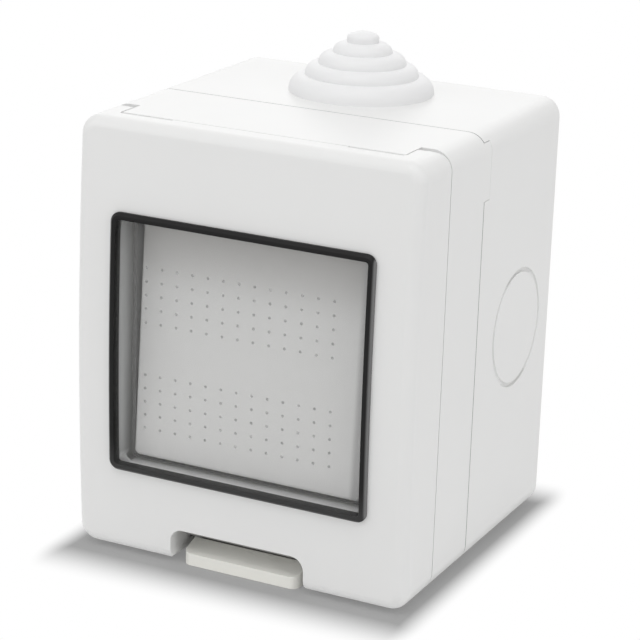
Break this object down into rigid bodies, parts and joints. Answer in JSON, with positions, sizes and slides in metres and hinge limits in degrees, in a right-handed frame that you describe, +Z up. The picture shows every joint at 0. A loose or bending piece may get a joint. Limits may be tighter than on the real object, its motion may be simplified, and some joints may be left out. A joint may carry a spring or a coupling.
{
  "type": "outdoor weatherproof switch",
  "caption": "Surface-mounted weatherproof rocker switch: stepped cable grommet on top, hinged lid with a soft window over the rocker, spring latch below.",
  "frame": {"origin": "centre of the flat back face that lies on the wall", "axes": "+X to the right seen from the front, +Y into the wall, +Z up along the height"},
  "size_m": [0.0662, 0.0636, 0.0916],
  "materials": {
    "white_plastic": "satin",
    "grey_plastic": "satin",
    "soft_white": "matte",
    "dark_rubber": "matte",
    "grey_rubber": "matte",
    "clear_sheet": "gloss",
    "tab_plastic": "satin",
    "module_plastic": "matte",
    "steel": "satin",
    "brass": "satin",
    "silver": "polished"
  },
  "bodies": {
    "housing": {"rear_box": "white_plastic", "cable_grommet": "soft_white", "box_gasket": "grey_rubber", "front_frame": "white_plastic", "frame_screws": "steel", "latch_spring": "steel", "switch_cover": "module_plastic", "module_screws": "steel", "cover_screws": "steel", "switch_base": "module_plastic", "common_terminal": "brass", "upper_terminal": "brass", "lower_terminal": "brass", "fixed_contacts": "silver", "terminal_clamps": "steel", "terminal_screws": "steel"},
    "lid": {"lid": "white_plastic", "window_seal": "dark_rubber", "window_membrane": "clear_sheet", "lid_seal": "grey_rubber"},
    "latch": {"latch_tab": "tab_plastic"},
    "rocker": {"rocker_key": "grey_plastic", "rocker_carrier": "module_plastic", "plunger_spring": "steel"},
    "plunger": {"plunger": "module_plastic"},
    "contact": {"contact_blade": "brass", "moving_contacts": "silver"}
  },
  "joints": [
    {"name": "lid_hinge", "type": "hinge", "parent": "housing", "child": "lid", "pos_m": [0, -0.0522, 0.0381], "axis": [-1, 0, 0], "range_deg": [0, 90]},
    {"name": "latch_press", "type": "hinge", "parent": "housing", "child": "latch", "pos_m": [0, -0.0514, -0.0389], "axis": [1, 0, 0], "range_deg": [0, 8], "stiffness_Nm_per_rad": 0.08, "springref_deg": -5.73, "deforming": ["latch_spring"]},
    {"name": "rocker_tilt", "type": "hinge", "parent": "housing", "child": "rocker", "pos_m": [0, -0.052, -0.0001], "axis": [1, 0, 0], "range_deg": [0, 7]},
    {"name": "contact_rock", "type": "hinge", "parent": "housing", "child": "contact", "pos_m": [0, -0.03815, -0.0001], "axis": [1, 0, 0], "range_deg": [-14, 0]},
    {"name": "plunger_slide", "type": "slide", "parent": "rocker", "child": "plunger", "axis": [0, -0.9981, 0.061], "range_m": [0, 0.0008], "stiffness_N_per_m": 600, "springref_m": -0.002, "deforming": ["plunger_spring"]}
  ],
  "couplings": [
    {"joint": "contact_rock", "follows": "rocker_tilt", "ratio": -2}
  ]
}
